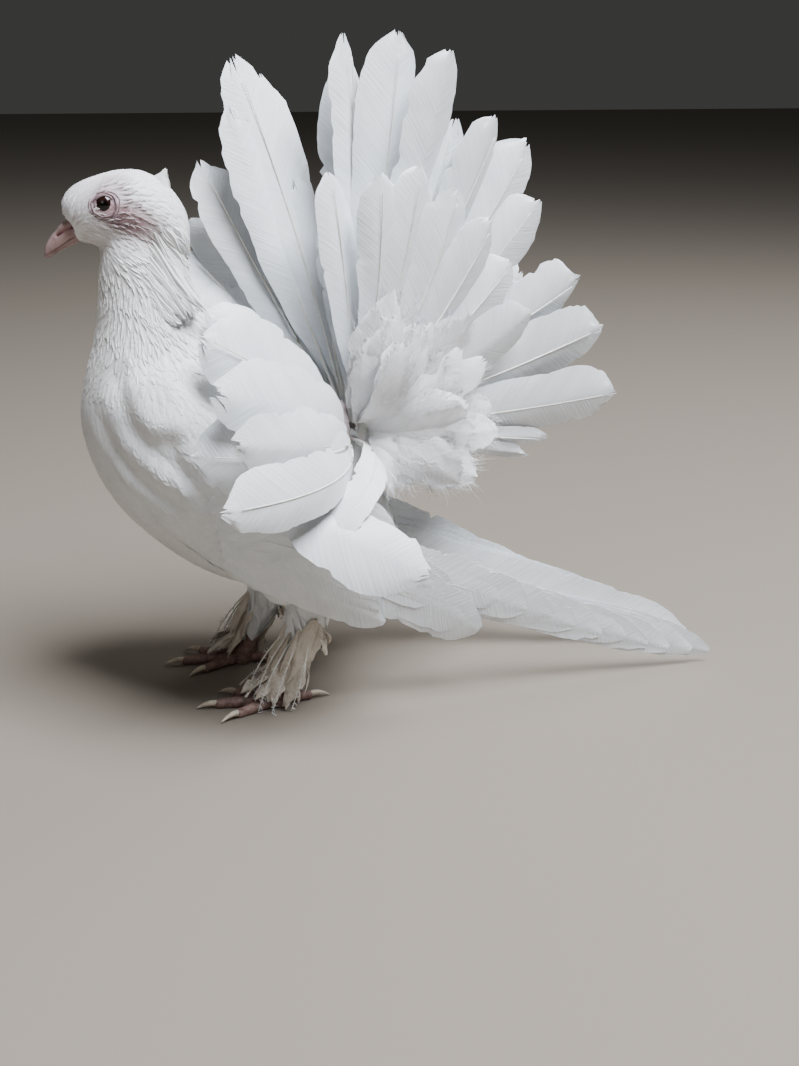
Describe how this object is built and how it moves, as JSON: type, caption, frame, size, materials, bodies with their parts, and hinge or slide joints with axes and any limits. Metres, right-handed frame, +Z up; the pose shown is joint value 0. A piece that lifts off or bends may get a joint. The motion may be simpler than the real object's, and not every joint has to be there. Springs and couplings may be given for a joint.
{
  "type": "fantail pigeon, still life-size model",
  "caption": "White fantail pigeon standing with its tail raised in a wide fan, wings lowered and head turned in profile.",
  "frame": {"origin": "bottom centre of the bird's box, on the floor it stands on", "axes": "+Z up, -Y the way the bird's body faces, +X its left side"},
  "size_m": [0.1372, 0.2854, 0.2741],
  "materials": {
    "plumage": "soft white body feathers",
    "flight_feather": "smooth white vanes with a faint sheen",
    "horn": "pinkish bill with a whitish cere",
    "claw": "pale horn",
    "eye": "wet dark brown",
    "foot_skin": "scaled reddish skin"
  },
  "bodies": {
    "root": {"head": "plumage", "eye_left": "eye", "eye_right": "eye", "bill_upper": "horn", "bill_lower": "horn", "neck": "plumage", "torso": "plumage", "wing_left": "flight_feather", "wing_right": "flight_feather", "tail": "flight_feather", "leg_left": "plumage", "leg_right": "plumage", "foot_left": "foot_skin", "foot_right": "foot_skin", "claw_left_middle": "claw", "claw_left_inner": "claw", "claw_left_outer": "claw", "claw_left_hind": "claw", "claw_right_middle": "claw", "claw_right_inner": "claw", "claw_right_outer": "claw", "claw_right_hind": "claw"}
  },
  "joints": []
}
